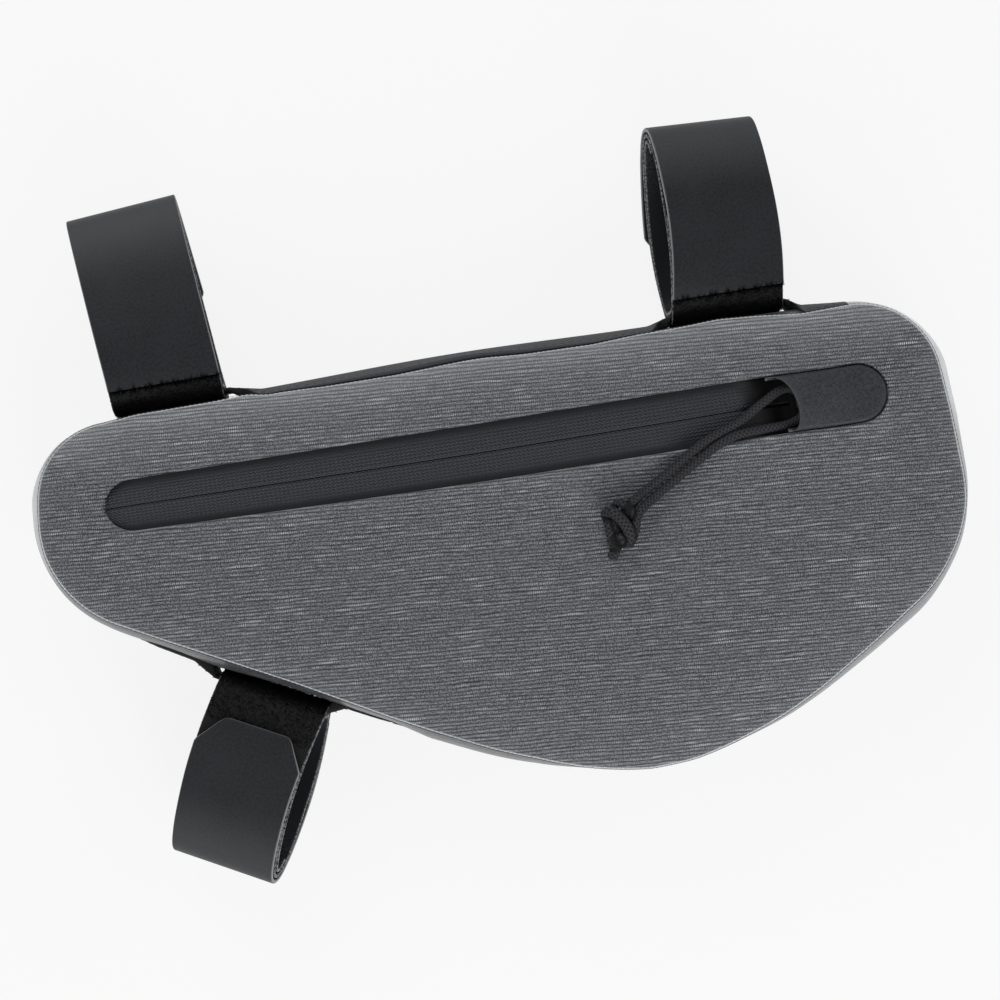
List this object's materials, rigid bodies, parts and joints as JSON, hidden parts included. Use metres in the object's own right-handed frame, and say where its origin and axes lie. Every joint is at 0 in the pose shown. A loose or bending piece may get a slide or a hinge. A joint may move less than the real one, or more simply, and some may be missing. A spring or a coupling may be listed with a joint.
{
  "type": "bicycle frame bag",
  "caption": "Wedge-shaped soft frame bag with a zipped, crowned front panel, a bulged fabric wall and hook-and-loop strap loops that hang it inside a bicycle frame.",
  "frame": {"origin": "under the middle of the part's box, on the surface that the back panel lies on", "axes": "+X along the top edge towards the front end of the bag, +Y towards the top straps, +Z out of the front panel"},
  "size_m": [0.316, 0.2344, 0.0591],
  "materials": {
    "heather_fabric": "ribbed grey heather with light slubs",
    "black_webbing": "matte black woven strip",
    "coated_zip": "matte coated zip tape with a fine chevron texture",
    "garage_film": "smooth matte film",
    "slider_metal": "black painted",
    "braided_cord": "black braid",
    "loop_tape": "black loop pile with a smooth back",
    "hook_tape": "smooth charcoal tape, satin"
  },
  "bodies": {
    "root": {"front_panel": "heather_fabric", "gusset": "heather_fabric", "back_panel": "heather_fabric", "top_anchor_strip": "black_webbing", "lower_anchor_strip": "black_webbing", "zip_tape_upper": "coated_zip", "zip_tape_lower": "coated_zip", "zip_garage": "garage_film", "zip_slider": "slider_metal", "pull_cord": "braided_cord", "pull_knot": "braided_cord", "strap_top_rear_loop": "loop_tape", "strap_top_rear_hook": "hook_tape", "strap_top_front_loop": "loop_tape", "strap_top_front_hook": "hook_tape", "strap_lower_loop": "loop_tape", "strap_lower_hook": "hook_tape"}
  },
  "joints": []
}
